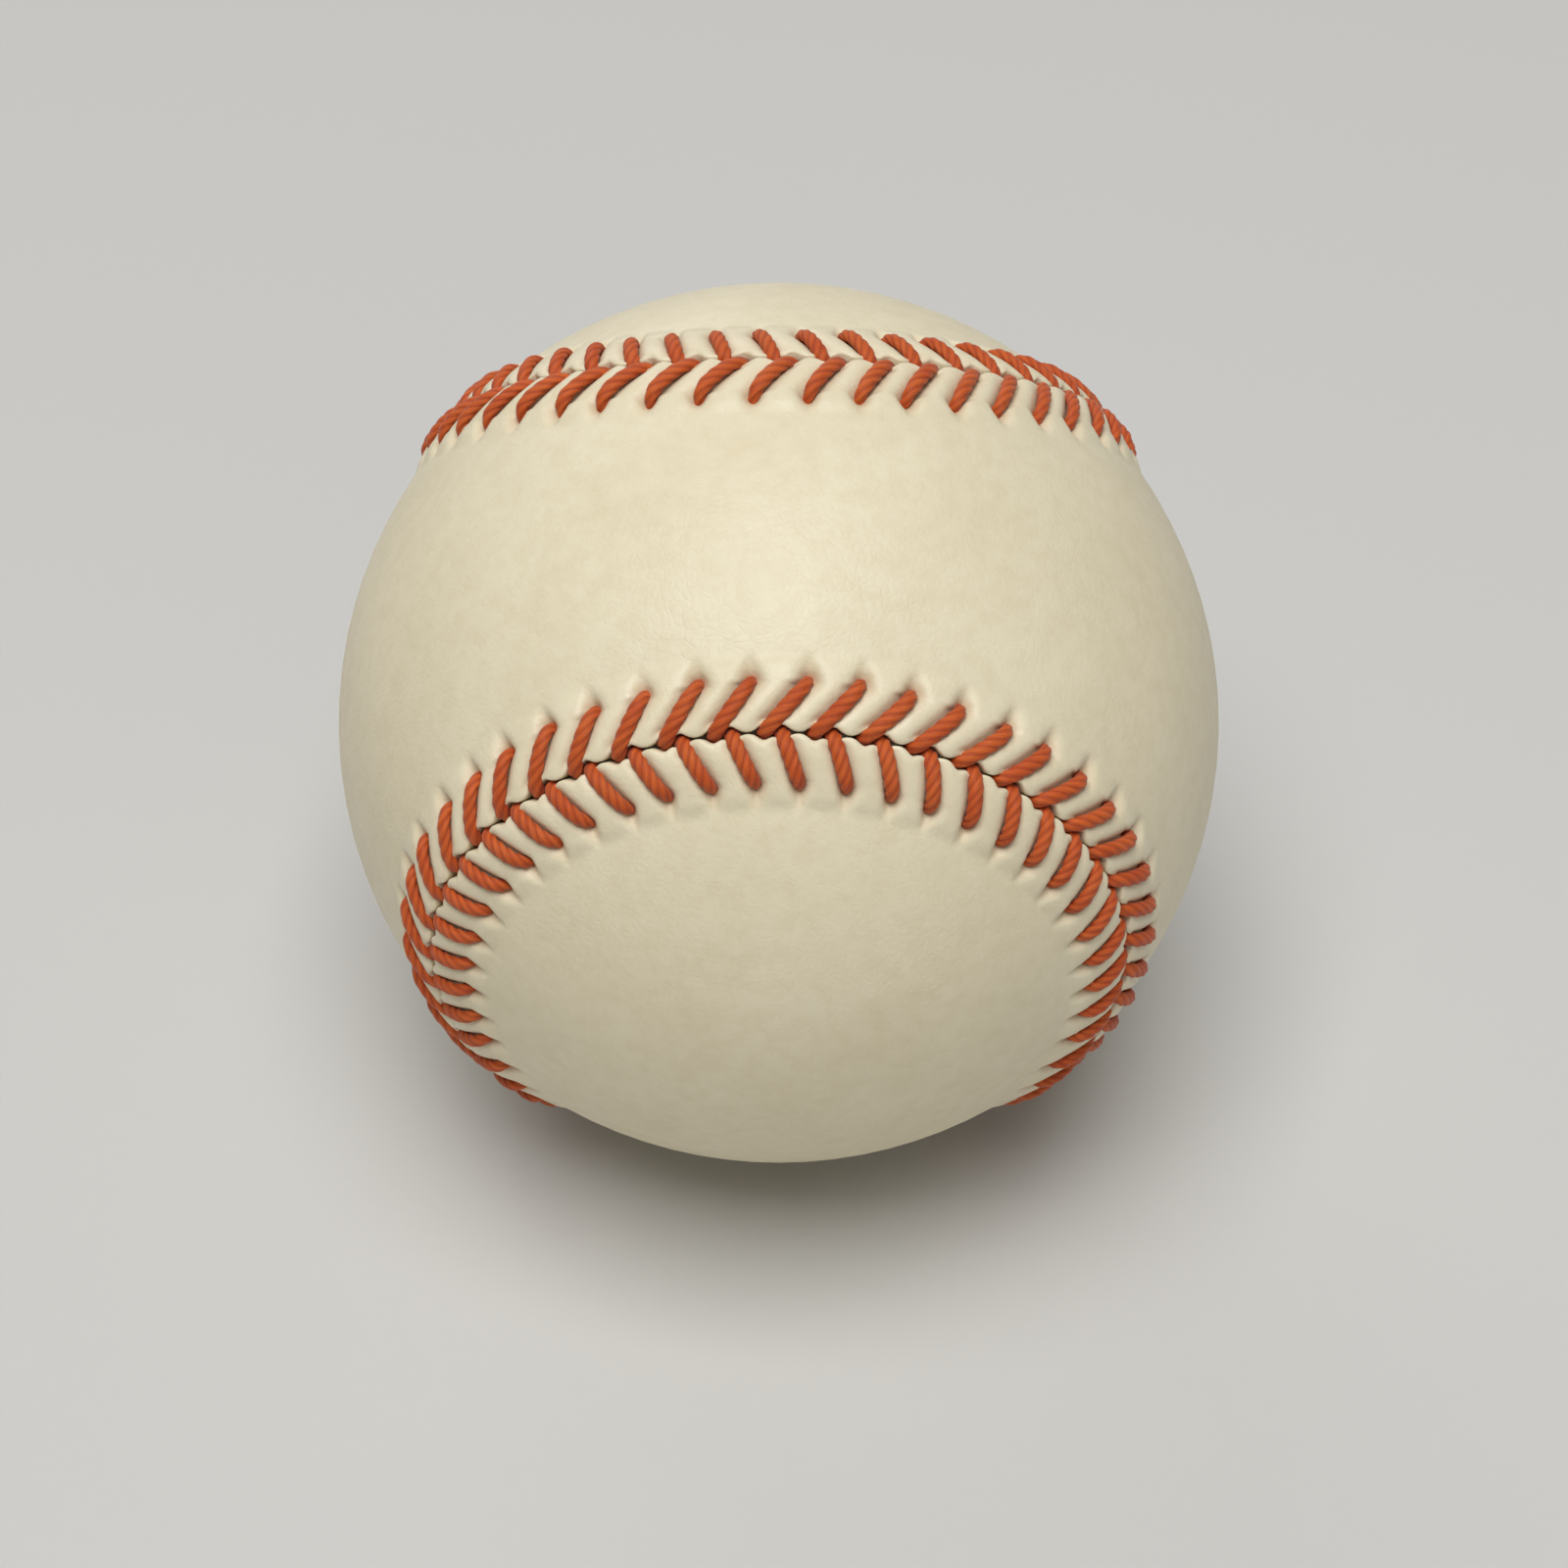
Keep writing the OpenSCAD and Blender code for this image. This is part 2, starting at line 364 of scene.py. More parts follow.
def rubber_finish(name, dark, light):
    """Moulded rubber: uneven dye, a bloom that dulls it in patches, and the mould's fine grain."""
    material, tree, shader = new_material(name, Specular_IOR_Level=0.45)
    place = object_place(tree)
    bloom = add_noise(tree, place, bloom_w, detail=5.0, roughness=0.6)
    dye = add_ramp(tree, bloom, [(0.35, dark), (0.70, light)])
    dulled = add_ramp(tree, bloom, [(0.3, 0.42), (0.7, 0.62)])
    grain = add_noise(tree, place, mould_grain_w, detail=3.0)
    feed(tree, shader, [(grain, mould_grain_deep)], Base_Color=dye, Roughness=dulled)
    return material


black_rubber = rubber_finish("black_moulded_rubber", linear(30, 29, 29), linear(46, 44, 43))
red_rubber = rubber_finish("red_moulded_rubber", linear(138, 34, 28), linear(164, 50, 40))
refinish(black_rubber, "rubber_shell_left", "rubber_shell_right")
refinish(red_rubber, "shell_gasket", "red_rubber_layer")

# %% Cement
stroke_w, stroke_deep = 1.6 * MM, 0.08 * MM
stroke_turn = (0.4, 0.9, 0.2)
stroke_drawn = (1, 0.16, 1)  # the pattern is drawn out where this is less than 1


def cement_finish():
    """Dried latex: honey-coloured, thin and thick in drawn-out brush marks, with a dull shine."""
    material, tree, shader = new_material("dried_cement", Specular_IOR_Level=0.5, Coat_Weight=0.2)
    turned = {"Vector": object_place(tree), "Rotation": stroke_turn, "Scale": stroke_drawn}
    drawn = add_node(tree, "Mapping", turned).outputs["Vector"]
    marks = add_noise(tree, drawn, stroke_w, detail=5.0, roughness=0.6)
    colour = add_ramp(tree, marks, [(0.25, linear(206, 184, 132)), (0.75, linear(224, 207, 162))])
    shine = add_ramp(tree, marks, [(0.2, 0.28), (0.8, 0.5)])
    feed(tree, shader, [(marks, stroke_deep)], Base_Color=colour, Roughness=shine)
    return material


refinish(cement_finish(), "cement_film")

# %% [markdown]
# ## Meshes from arrays
#
# From here on the pieces are modelled. A mesh is an array of points and an array of corner numbers,
# made whole, with no loop over points, and handed to Blender in one go. Which way round the corners
# run doesn't matter while a surface is drawn: the sign of the closed volume tells afterwards
# whether it is inside out. The first surface is a ball. Circles of latitude would crowd its poles,
# so it is gridded like a cube instead.

# %% A ball gridded like a cube
winding_steps = 118  # along an edge of the cube, for the outer surface of a wound layer
underside_steps = 20


def unit(vectors):
    """The vectors made one long."""
    return vectors / np.linalg.norm(vectors, axis=-1, keepdims=True)


def cube_ball(steps):
    """Unit directions and quads of a ball gridded like a cube's six sides. The grid lines run at
    even angles, the tangent puts them on the cube, and points that two sides share are welded."""
    line = np.tan(np.linspace(-math.pi / 4, math.pi / 4, steps + 1))
    u, v = np.meshgrid(line, line, indexing="ij")
    number = np.arange((steps + 1) ** 2).reshape(steps + 1, steps + 1)
    quads = np.stack([number[:-1, :-1], number[1:, :-1], number[1:, 1:], number[:-1, 1:]], -1)
    sides = [
        np.roll(np.stack([way + 0 * u, way * u, v], -1), axis, -1)
        for axis in range(3) for way in (1, -1)
    ]
    points = np.concatenate([side.reshape(-1, 3) for side in sides])
    faces = np.concatenate([quads.reshape(-1, 4) + k * number.size for k in range(len(sides))])
    places = np.round(points, 6) + 0.0
    _, first, welded = np.unique(places, axis=0, return_index=True, return_inverse=True)
    return unit(points[first]), welded.reshape(-1)[faces]


def signed_volume(points, faces):
    """Sum over the faces of the volume of the pyramid from the origin to each, by its triangles."""
    total = 0.0
    for k in range(1, faces.shape[1] - 1):
        a, b, c = points[faces[:, 0]], points[faces[:, k]], points[faces[:, k + 1]]
        total += np.einsum("ij,ij->i", a, np.cross(b, c)).sum() / 6
    return total


filled = abs(signed_volume(*cube_ball(underside_steps))) / (4 / 3 * math.pi)
print(f"gridded in {underside_steps} steps a side, a ball fills {filled:.1%} of a true one")

# %% A closed piece from its arrays


def add_piece(name, points, face_sets, materials, painted):
    """A closed smooth mesh that faces outwards. face_sets are arrays of corner numbers, one row a
    face. painted names numbers, one for each point, which the material can read."""
    if sum(signed_volume(points, faces) for faces in face_sets) < 0:
        face_sets = [faces[:, ::-1] for faces in face_sets]
    corners = np.concatenate([faces.ravel() for faces in face_sets]).astype(np.int32)
    counts = np.concatenate([np.full(len(faces), faces.shape[1]) for faces in face_sets])
    starts = np.concatenate([[0], np.cumsum(counts)[:-1]]).astype(np.int32)
    mesh = bpy.data.meshes.new(name)
    mesh.vertices.add(len(points))
    mesh.vertices.foreach_set("co", points.astype(np.float32).ravel())
    mesh.loops.add(len(corners))
    mesh.loops.foreach_set("vertex_index", corners)
    mesh.polygons.add(len(counts))
    mesh.polygons.foreach_set("loop_start", starts)
    mesh.update(calc_edges=True)
    mesh.shade_smooth()
    for key, values in painted.items():
        numbers = mesh.attributes.new(key, "FLOAT", "POINT").data
        numbers.foreach_set("value", values.astype(np.float32).ravel())
    for material in materials:
        mesh.materials.append(material)
    print(f"{name}: {len(points)} points, {int((counts - 2).sum())} triangles")
    return add_object(name, mesh)


def fit_out(piece, slot, *nodes):
    """The piece rides on the ball and stands for those solids, which are hidden. slot is not used.
    """
    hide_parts(*nodes)
    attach(piece, "root")


# %% [markdown]
# ## The wound layers
#
# A winding machine turns the ball slowly while it lays a few turns of yarn side by side, then turns
# it and crosses them with the next few. Over three hundred metres of yarn as tubes would be far too
# heavy, and only the last turns show. So each layer is one closed surface, raised under whichever
# turn lies last over each point. Every point also knows its place across and along its own turn,
# and the material twists the plies and lays the fibres by that.

# %% Yarn laid on a ball
great_circle_stray = 0.10  # how far a band's middle strays from the ball's, in ball radii
wander = 0.22  # how far a turn wanders sideways, as a share of its width
wanders_round = 3  # how often it does so on its way round
round_share = 0.72  # of the relief, how much is the turn's round back
lift_share = 0.28  # and how much is its own lift over its neighbours


def lay_yarn(directions, radius, yarn_w, turns_in_band, bands, seed):
    """What lies on top at each point after all bands are laid: the height of the yarn there from 0
    to 1, half a circle across each turn, the turn's own tone, and the distances across and along
    it. The first band covers the whole ball, and each later one hides what it crosses."""
    random = np.random.default_rng(seed)
    whole = math.ceil(2 * radius / yarn_w) + 2
    on_top = np.zeros((4, len(directions)))
    for band in range(bands + 1):
        turns = whole if band == 0 else turns_in_band
        axes = np.linalg.qr(random.normal(size=(3, 3)))[0]
        local = directions @ axes
        middle = random.normal(0, great_circle_stray * radius) if band else 0.0
        around = np.arctan2(local[:, 1], local[:, 0])
        sway = wander * np.sin(wanders_round * around + random.uniform(0, 2 * math.pi))
        place = (local[:, 2] * radius - middle) / yarn_w + turns / 2 + sway
        turn = np.floor(place).astype(int)
        covered = (turn >= 0) & (turn < turns)
        own = np.clip(turn, 0, turns - 1)
        lift, dye = random.uniform(0, 1, (2, turns))
        x = 2 * (place - turn) - 1
        raised = round_share * np.sqrt(np.clip(1 - x * x, 0, 1)) + lift_share * lift[own]
        laid = np.stack([raised, dye[own], x * yarn_w / 2, around * radius])
        on_top = np.where(covered, laid, on_top)
    return on_top


# %% A wound layer


def make_winding(name, core_r, radius, material, relief, **yarn):
    """One wound layer: an outer surface whose highest turns reach the radius, and a plain inner one
    turned inside out. Paints tone, valley from 0 to 1, and millimetres across and along the
    turn."""
    directions, faces = cube_ball(winding_steps)
    height, tone, across, along = lay_yarn(directions, radius, **yarn)
    under, under_faces = cube_ball(underside_steps)
    outer_r = radius - relief * (1 - height)
    points = np.concatenate([directions * outer_r[:, None], under * core_r])
    plain = np.zeros(len(under))
    numbers = {"tone": tone, "valley": 1 - height, "across": across / MM, "along": along / MM}
    painted = {key: np.concatenate([values, plain]) for key, values in numbers.items()}
    face_sets = [faces, under_faces[:, ::-1] + len(directions)]
    return add_piece(name, points, face_sets, [material], painted)


# %% Yarn
heather_w = 0.7 * MM  # the patches of mixed dye
fuzz_w = 0.22 * MM  # the loose fibres
shade_strength = 0.7  # how much the plies darken towards their valleys


def painted_numbers(tree, *keys):
    """The numbers that a mesh was painted with, by their names."""
    return {
        key: add_node(tree, "Attribute", {}, attribute_name=key).outputs["Fac"] for key in keys
    }


def yarn_finish(name, dark, light, ply_across, ply_along, ply_deep, fuzz_deep):
    """Spun yarn. A sine over the painted millimetres slants the plies over the turn: a ply repeats
    every ply_across and every ply_along. Each turn has its own tone, painted shade darkens the
    valleys, and loose fibres roughen it all."""
    material, tree, shader = new_material(
        name, Roughness=0.95, Specular_IOR_Level=0.15, Sheen_Weight=0.3, Sheen_Roughness=0.6
    )
    place = object_place(tree)
    read = painted_numbers(tree, "tone", "valley", "across", "along")
    slant = add_math(
        tree, "ADD",
        add_math(tree, "MULTIPLY", read["across"], 2 * math.pi / ply_across),
        add_math(tree, "MULTIPLY", read["along"], 2 * math.pi / ply_along),
    )
    plies = add_math(tree, "MULTIPLY", add_math(tree, "SINE", slant), 0.5)
    top = add_math(tree, "SUBTRACT", 1.0, read["valley"])
    plies = add_math(tree, "MULTIPLY", add_math(tree, "ADD", plies, 0.5), top)
    heather = add_noise(tree, place, heather_w, detail=5.0, roughness=0.7)
    dye = add_math(tree, "MULTIPLY", add_math(tree, "ADD", read["tone"], heather), 0.5)
    colour = add_ramp(tree, dye, [(0.2, dark), (0.75, light)])
    # painted shade: the colour darkens towards the valleys between plies and turns
    shaded = add_ramp(tree, plies, [(0.0, 0.62), (0.8, 1.0)])
    colour = add_mix(tree, shade_strength, colour, shaded, "MULTIPLY")
    fuzz = add_noise(tree, place, fuzz_w, detail=4.0, roughness=0.7)
    feed(tree, shader, [(plies, ply_deep), (fuzz, fuzz_deep)], Base_Color=colour)
    return material


grey_wool = yarn_finish(
    "grey_wool_yarn", dark=linear(92, 92, 95), light=linear(150, 150, 150),
    ply_across=3.2, ply_along=2.1, ply_deep=0.22 * MM, fuzz_deep=0.14 * MM,
)
white_wool = yarn_finish(
    "white_wool_yarn", dark=linear(206, 199, 182), light=linear(236, 231, 217),
    ply_across=2.8, ply_along=1.8, ply_deep=0.2 * MM, fuzz_deep=0.12 * MM,
)
fine_cotton = yarn_finish(
    "fine_cotton_yarn", dark=linear(216, 210, 194), light=linear(240, 236, 224),
    ply_across=0.42, ply_along=60.0, ply_deep=0.14 * MM, fuzz_deep=0.04 * MM,
)

# %% Grey wool, white wool, grey wool again and fine cotton
layers = [
    ("grey_wool_first_winding", "grey_wool", "grey_wool_winding", grey_wool,
     {"yarn_w": 2.1 * MM, "relief": 0.9 * MM, "turns_in_band": 4, "bands": 60}),
    ("white_wool_second_winding", "white_wool", "white_wool_winding", white_wool,
     {"yarn_w": 1.8 * MM, "relief": 0.75 * MM, "turns_in_band": 4, "bands": 70}),
    ("grey_wool_third_winding", "grey_wool", "grey_wool_overwinding", grey_wool,
     {"yarn_w": 1.8 * MM, "relief": 0.75 * MM, "turns_in_band": 4, "bands": 75}),
    ("fine_cotton_last_winding", "cotton", "cotton_finish_winding", fine_cotton,
     {"yarn_w": 3.4 * MM, "relief": 0.16 * MM, "turns_in_band": 1, "bands": 160}),
]
core_r = solid_radius("red_rubber_layer")
for seed, (name, slot, node, material, yarn) in enumerate(layers, 1):
    radius = solid_radius(node)
    fit_out(make_winding(name, core_r, radius, material, seed=seed, **yarn), slot, node)
    core_r = radius

# %% [markdown]
# ## The seam
#
# The seam is one closed curve that divides the ball into two equal figure-of-eight covers. It could
# be traced from a real cover, but four equal round arcs give it very closely: each runs round the
# middle of a lobe, and each is the one before it turned a quarter round the pole and mirrored top
# to bottom. A point is then given by two numbers, how far along the seam it is and how far aside of
# it, and everything sewn is drawn in those two. The sizes repeat those that the solids were drawn
# from, because a box can't tell them.

# %% Sizes of the seam
waist_w = 32 * MM  # width of a cover's waist along the leather
seam_rise = 0.65 * MM  # height of the sewn edge above the rest of the leather
slit_gap = 0.3 * MM  # gap between the two covers
stitch_count = 108  # double stitches round the seam
lean = math.radians(24)  # of the upper cover's waist towards the front

waist_half = waist_w / 2 / leather_r
lobe_spread = math.atan((math.sqrt(2) - math.sin(waist_half)) / math.cos(waist_half))
lobe_tip = waist_half + lobe_spread
lobe_turn = math.acos(-1 / (math.tan(lobe_tip) * math.tan(lobe_spread)))
seam_length = 8 * lobe_turn * math.sin(lobe_spread) * leather_r
pitch = seam_length / stitch_count
print(f"seam {seam_length / MM:.0f} mm long, one stitch every {pitch / MM:.2f} mm")

# %% A point by its distances along and aside


def seam_point(along, aside):
    """Unit direction of the point a distance along the seam and a distance aside of it, above zero
    on the upper cover. On its arc the point lies at spread from the lobe's middle and is turned
    round it. Arc k is arc 0 turned k quarters, and the odd ones are mirrored."""
    way = 4 * np.mod(along / seam_length, 1.0)
    arc = np.minimum(way.astype(int), 3)
    turn = lobe_turn * (2 * (way - arc) - 1)
    odd = arc % 2
    spread = lobe_spread + (1 - 2 * odd) * aside / leather_r
    x, inwards = np.sin(spread) * np.sin(turn), np.sin(spread) * np.cos(turn)
    y = np.cos(spread) * math.sin(lobe_tip) - inwards * math.cos(lobe_tip)
    z = np.cos(spread) * math.cos(lobe_tip) + inwards * math.sin(lobe_tip)
    cos_k = np.array([1, 0, -1, 0])[arc]
    sin_k = np.array([0, 1, 0, -1])[arc]
    return np.stack([x * cos_k + y * sin_k, y * cos_k - x * sin_k, z * (1 - 2 * odd)], -1)


def at_rest(points):
    """Points turned by the ball's lean about X, as it lies on the table."""
    turned = np.array([
        [1, 0, 0],
        [0, math.cos(lean), -math.sin(lean)],
        [0, math.sin(lean), math.cos(lean)],
    ])
    return points @ turned.T


seam_start = at_rest(seam_point(np.zeros(1), 0.0))[0]
print("from the centre, the seam starts towards", seam_start.round(2))

# %% [markdown]
# ## How the stitches shape the leather
#
# A sewn cover isn't smooth. Along the slit its edge rolls up into a low ridge. Each stitch beds
# into that ridge and leaves a plump pillow of leather between it and the next, and past its hole
# the pull of the thread draws a short pointed crease. This could be sculpted or painted as bump,
# but both would miss the outline. As heights over the two seam numbers, it is a handful of short
# formulas, and real stitches are sewn by hand, so each gets its own small shift and tightness.

# %% Where the stitches lie
thread_d = 1.05 * MM
thread_space = 0.3 * MM  # between the two threads in the slit
hole_aside = 3.7 * MM  # from the slit to a row of holes
stitch_lead = 2.3 * MM  # how far a stitch runs forward from its hole to the slit


def row_of(side):
    """Row number in the tables of stitches: 0 for the upper cover's and 1 for the lower's."""
    return (1 - side) // 2


def slit_lead(side):
    """How far past its hole a stitch of that side goes down into the slit."""
    return stitch_lead + side * (thread_d + thread_space) / 2


for side, cover in ((1, "upper"), (-1, "lower")):
    slant = math.degrees(math.atan(slit_lead(side) / hole_aside))
    print(f"stitches on the {cover} cover slant {slant:.0f} degrees")

# %% Stitch irregularity
shift_spread = 0.09 * MM  # of a hole along the seam
stray_spread = 0.06 * MM  # of a hole aside
tightness_spread = 0.10

random = np.random.default_rng(108)
hole_shift = random.normal(0, shift_spread, (2, stitch_count))
hole_stray = random.normal(0, stray_spread, (2, stitch_count))
tightness = 1 + random.normal(0, tightness_spread, (2, stitch_count))
print(f"stitches pull with {tightness.min():.2f} to {tightness.max():.2f} of the usual strength")

# %% Ridge along the slit
edge_round = 0.7 * MM  # width of the rolled edge at the slit
ridge_w = 5.9 * MM  # from the slit to where the ridge has died away


def smooth_step(value):
    """0 below 0, 1 above 1, and three squares less two cubes between."""
    share = np.clip(value, 0, 1)
    return share * share * (3 - 2 * share)


def bell(value):
    """One at zero and falling away on both sides: e to the power of minus the square."""
    return np.exp(-value * value)


def ridge_height(aside):
    """Height of the leather over its plain sphere, from the crest of the rolled edge outwards."""
    return seam_rise * (1 - smooth_step((aside - edge_round) / (ridge_w - edge_round)))


print(f"the ridge is {ridge_height(hole_aside) / MM:.2f} mm high at the holes")

# %% Grooves, pillows and creases
groove_half = 0.72 * MM  # half width of the groove under a stitch
groove_deep = 0.46 * MM
pillow_high = 0.28 * MM
pillow_end = 1.5 * MM  # width of the slope where the pillows end
crease_long = 2.4 * MM  # from a hole to the crease's point
crease_narrowing = 0.75  # how much narrower than the groove the crease is there
pit_r, pit_deep = 0.55 * MM, 0.5 * MM


def nearest_stitch(along, aside, side):
    """Number of the stitch that lies nearest, and the distance from its line, square to it. The
    line runs straight from the hole to the slit, and past the hole it runs straight out."""
    share = 1 - np.clip(aside / hole_aside, 0, 1)
    line = slit_lead(side) * share
    number = np.round((along - line) / pitch).astype(int)
    shift = hole_shift[row_of(side)][number % stitch_count] * (1 - share)
    slant = np.where(share > 0, hole_aside / math.hypot(hole_aside, slit_lead(side)), 1.0)
    return number % stitch_count, (along - line - shift - number * pitch) * slant


def stitched_height(along, aside, side):
    """Height that the stitches add to the smooth ridge, below zero where they press it in: a bell
    across each groove, a narrowing bell along the crease, a round pit at the hole and a low
    swelling between. Also how deep in a groove the place is, from 0 to 1."""
    number, off = nearest_stitch(along, aside, side)
    tight = tightness[row_of(side)][number]
    past = np.clip((aside - hole_aside) / crease_long, 0, 1)
    half = groove_half * (1 - crease_narrowing * past)
    fade = smooth_step(aside / edge_round) * (1 - smooth_step(past))
    groove = bell(off / half) * fade
    from_hole = np.hypot(off, aside - hole_aside - hole_stray[row_of(side)][number])
    pit = bell(from_hole / pit_r)
    swell = (1 - bell(off / groove_half)) * smooth_step((ridge_w - aside) / pillow_end)
    height = pillow_high * swell - tight * (groove_deep * groove + pit_deep * pit)
    return height, np.clip(groove + pit, 0, 1)


aside_line, along_line = np.linspace(0, ridge_w, 60), np.linspace(0, pitch, 60)
sewn, _ = stitched_height(along_line[None, :], aside_line[:, None], 1)
print(f"one stitch moves the leather by {sewn.min() / MM:.2f} to {sewn.max() / MM:.2f} mm")

# %% Notches in the slit
notch_half = 0.6 * MM  # where a thread presses the edge aside in the slit
notch_deep = 0.5 * MM
notch_reach = 0.9 * MM  # how far from the slit the leather still gives way
edge_meets = 0.1 * MM  # how far the edges bulge towards each other between the threads


def slit_notch(along):
    """How far the threads press the edge of the leather aside: a bell round each of the two places
    in every stitch where a thread goes down into the slit. Between them the edges bulge out."""
    pressed = -edge_meets
    for side in (1, -1):
        off = np.mod((along - slit_lead(side)) / pitch + 0.5, 1) - 0.5
        pressed = pressed + notch_deep * bell(off * pitch / notch_half)
    return pressed


slit_w = slit_gap + 2 * slit_notch(along_line)
print(f"the slit opens from {slit_w.min() / MM:.2f} to {slit_w.max() / MM:.2f} mm")

# %% [markdown]
# ## The two leather covers
#
# Each cover is one closed shell of leather. Its section is a profile that starts on the glued
# underside, comes out to the slit, climbs the cut edge, rolls over it and runs down the ridge, and
# that profile is carried round the seam. Lines straight across the middle close both faces. The
# lower cover is the upper one turned half round, which runs the seam backwards from its half way
# point.

# %% Profile of a cover
stitch_samples = 16
along_count = stitch_count * stitch_samples
edge_steps, edge_drop = 6, 0.29 * MM  # the edge rolls down by edge_drop
slope_step = 0.2 * MM
outer_reach = 6.5 * MM
under_follows = 0.7  # how much of the ridge's rise the underside follows
wall_places = np.array([0.55, 0.75])  # of two points up the cut edge, as shares of it

under_aside = np.array([6.5, 4.8, 3.2, 1.7, 0.6, 0.0]) * MM
under_height = under_follows * ridge_height(under_aside)
wall_height = wall_places * (leather_wall + seam_rise)
roll = np.linspace(0, math.pi / 2, edge_steps)
roll_aside = edge_round * (1 - np.cos(roll))
roll_height = leather_wall + seam_rise - edge_drop * (1 - np.sin(roll))
slope_aside = np.arange(edge_round + slope_step, outer_reach + slope_step / 2, slope_step)
slope_height = leather_wall + ridge_height(slope_aside)

profile_aside = np.concatenate([under_aside, 0 * wall_height, roll_aside, slope_aside])
profile_height = np.concatenate([under_height, wall_height, roll_height, slope_height])
outer_start = len(under_aside) + len(wall_height)
print(f"profile of {len(profile_aside)} points, carried to {along_count} places")

# %% Lines across the middle of a cover
outer_lines, inner_lines = 15, 3
tip = along_count * 3 // 8  # the ring point at the tip of the first lobe


def lines_across(ring, count, radius):
    """Points on arcs across the middle of the cover, between the two points of the ring that
    mirror each other in Y. An arc's angle falls evenly from the first point's rise to the
    second's."""
    m = np.arange(1, along_count // 2)
    ends = ring[(tip - m) % along_count]
    rise = np.arcsin(ends[:, 1])[:, None]
    flat = ends[:, [0, 2]] / np.hypot(ends[:, 0], ends[:, 2])[:, None]
    angle = rise * (1 - 2 * np.arange(1, count + 1) / (count + 1))
    x, z = flat[:, :1] * np.cos(angle), flat[:, 1:] * np.cos(angle)
    return radius * np.stack([x, np.sin(angle), z], -1).reshape(-1, 3)


def across_faces(ring_start, start, count):
    """Quads between neighbouring lines across, and triangles that close the two lobe tips."""
    m = np.arange(along_count // 2 + 1)
    index = np.empty((len(m), count + 2), int)
    index[:, 0] = ring_start + (tip - m) % along_count
    index[:, -1] = ring_start + (tip + m) % along_count
    index[1:-1, 1:-1] = start + np.arange((len(m) - 2) * count).reshape(-1, count)
    rows = index[1:-1]
    quads = np.stack([rows[:-1, :-1], rows[:-1, 1:], rows[1:, 1:], rows[1:, :-1]], -1)
    first, last = rows[0], rows[-1]
    tips = [
        np.stack([np.full(count + 1, index[0, 0]), first[1:], first[:-1]], -1),
        np.stack([last[:-1], last[1:], np.full(count + 1, index[-1, 0])], -1),
    ]
    return quads.reshape(-1, 4), np.concatenate(tips)


# %% Surface of a cover


def grid_faces(rows, columns):
    """Quads of a grid of points, numbered row by row, whose columns close into a ring."""
    row, column = np.meshgrid(np.arange(rows - 1), np.arange(columns), indexing="ij")
    beside = (column + 1) % columns
    corners = [row * columns + column, row * columns + beside]
    corners += [(row + 1) * columns + beside, (row + 1) * columns + column]
    return np.stack(corners, -1).reshape(-1, 4)


def make_cover(name, side, materials):
    """The profile carried round the seam, with the stitches' heights added to the outer face. The
    notches fade away from the slit as a bell. Paints how deep in a groove each point lies."""
    along = seam_length * np.arange(along_count) / along_count
    sewn_along = along if side > 0 else seam_length / 2 - along
    aside, station = profile_aside[:, None], sewn_along[None, :]
    notch = slit_notch(station) * bell(aside / notch_reach)
    direction = seam_point(along[None, :] + 0 * aside, slit_gap / 2 + aside + notch)
    added, groove = stitched_height(station, aside, side)
    outer = (np.arange(len(profile_aside)) >= outer_start)[:, None]
    radius = cement_r + profile_height[:, None] + outer * added
    shell = (direction * radius[..., None]).reshape(-1, 3)
    rings = len(profile_aside)
    outer_middle = lines_across(direction[-1], outer_lines, leather_r)
    inner_middle = lines_across(direction[0], inner_lines, cement_r)
    points = np.concatenate([shell, outer_middle, inner_middle])
    plain = np.zeros(len(outer_middle) + len(inner_middle))
    painted = {"groove": np.concatenate([(groove * outer).ravel(), plain])}
    outer_faces = across_faces((rings - 1) * along_count, len(shell), outer_lines)
    inner_faces = across_faces(0, len(shell) + len(outer_middle), inner_lines)
    inside_out = [faces[:, ::-1] for faces in inner_faces]
    face_sets = [grid_faces(rings, along_count), *outer_faces, *inside_out]
    if side < 0:
        points = points[:, [1, 0, 2]] * [1, 1, -1]
    cover = add_piece(name, at_rest(points), face_sets, materials, painted)
    flesh_side = np.zeros(len(cover.data.polygons), np.int32)
    flesh_side[:(outer_start - 1) * along_count] = 1
    flesh_side[-sum(len(faces) for faces in inner_faces):] = 1
    cover.data.polygons.foreach_set("material_index", flesh_side)
    return cover


# %% [markdown]
# ## Leather
#
# The covers are alum-tanned leather: ivory, smooth and a little waxy, with a fine pebbled grain
# that only shows close up. A plain colour would look like plastic, and a picture of leather would
# show its edges, so a few sizes of texture make it: broad mottling and small specks in the colour,
# a grain of small cells with creases between them, fine pores, and shallow dents. The number
# painted on the mesh turns the stitch grooves towards tan, partly as the rub of fingers and thread
# and partly as painted shade. The underside is raw fibrous flesh side.

# %% Leather
mottle_w, speck_w, gloss_w = 11 * MM, 1.6 * MM, 5 * MM
speck_strength = 0.42
# how far the grooves turn tan, part painted shade and part rubbing
groove_shade_strength = 0.42
dent_w, dent_deep = 6 * MM, 0.07 * MM
cell_w, crease_deep = 0.75 * MM, 0.012 * MM
sway_w, sway_far = 0.9 * MM, 0.6 * MM  # the cells are swayed out of their straight lines
pore_w, pore_deep = 0.28 * MM, 0.012 * MM


